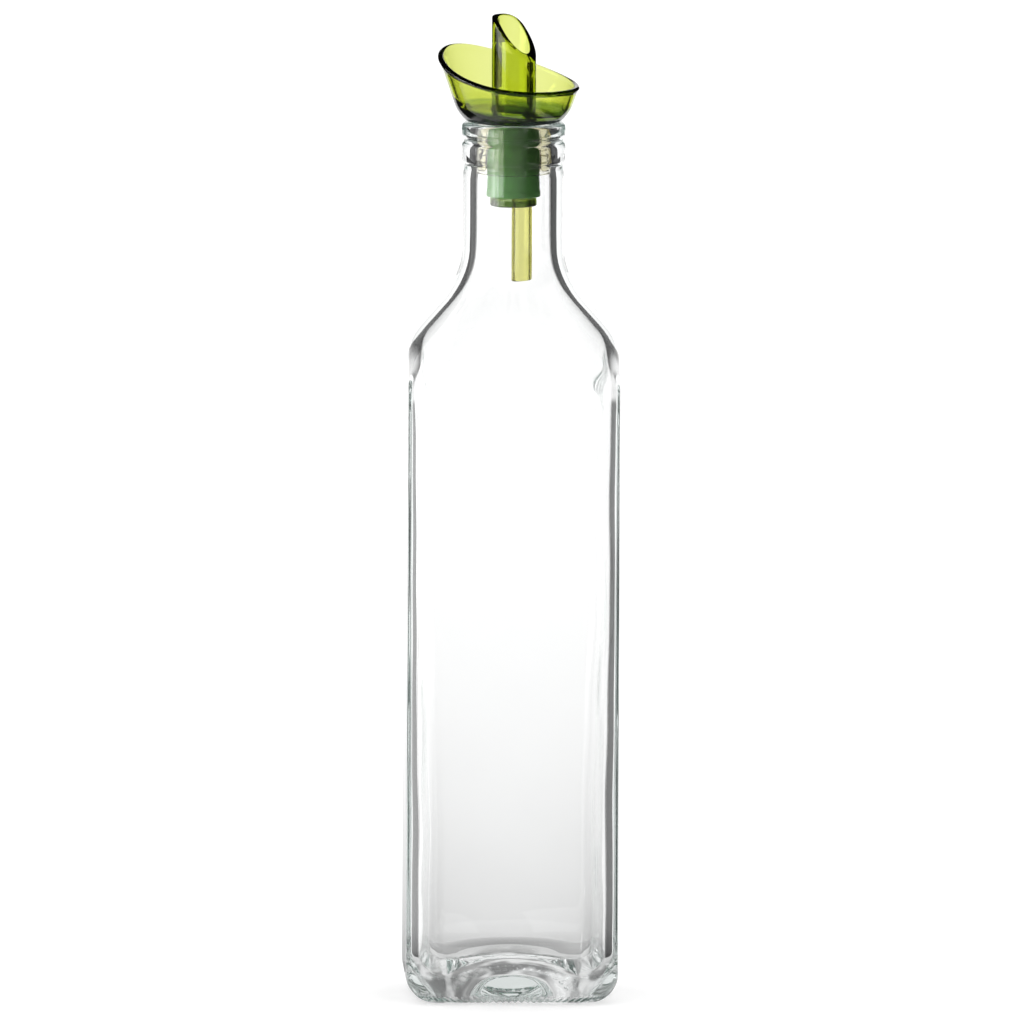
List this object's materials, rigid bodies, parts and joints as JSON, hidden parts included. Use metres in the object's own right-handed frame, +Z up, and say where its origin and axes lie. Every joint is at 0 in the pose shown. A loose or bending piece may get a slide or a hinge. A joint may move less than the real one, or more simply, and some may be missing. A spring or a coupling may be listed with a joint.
{
  "type": "oil bottle",
  "caption": "Square clear glass oil bottle with a turned shoulder and round neck, closed by a lime plastic pourer with a drip bowl, a slant-cut spout, a green plug and an air tube.",
  "frame": {"origin": "centre of the base, on the surface that the bottle stands on", "axes": "+Z up along the bottle's axis, X and Y square to the flat sides, the spout pours towards +X -Y"},
  "size_m": [0.0632, 0.0632, 0.2934],
  "materials": {
    "clear_glass": "clear, polished",
    "lime_plastic": "clear lime, glossy",
    "green_plug": "satin, cloudy green",
    "cream_seal": "satin, cloudy cream",
    "straw_tube": "satin, cloudy yellow-green"
  },
  "bodies": {
    "root": {"bottle": "clear_glass", "pourer": "lime_plastic", "plug": "green_plug", "seal_ring": "cream_seal", "vent_tube": "straw_tube"}
  },
  "joints": []
}
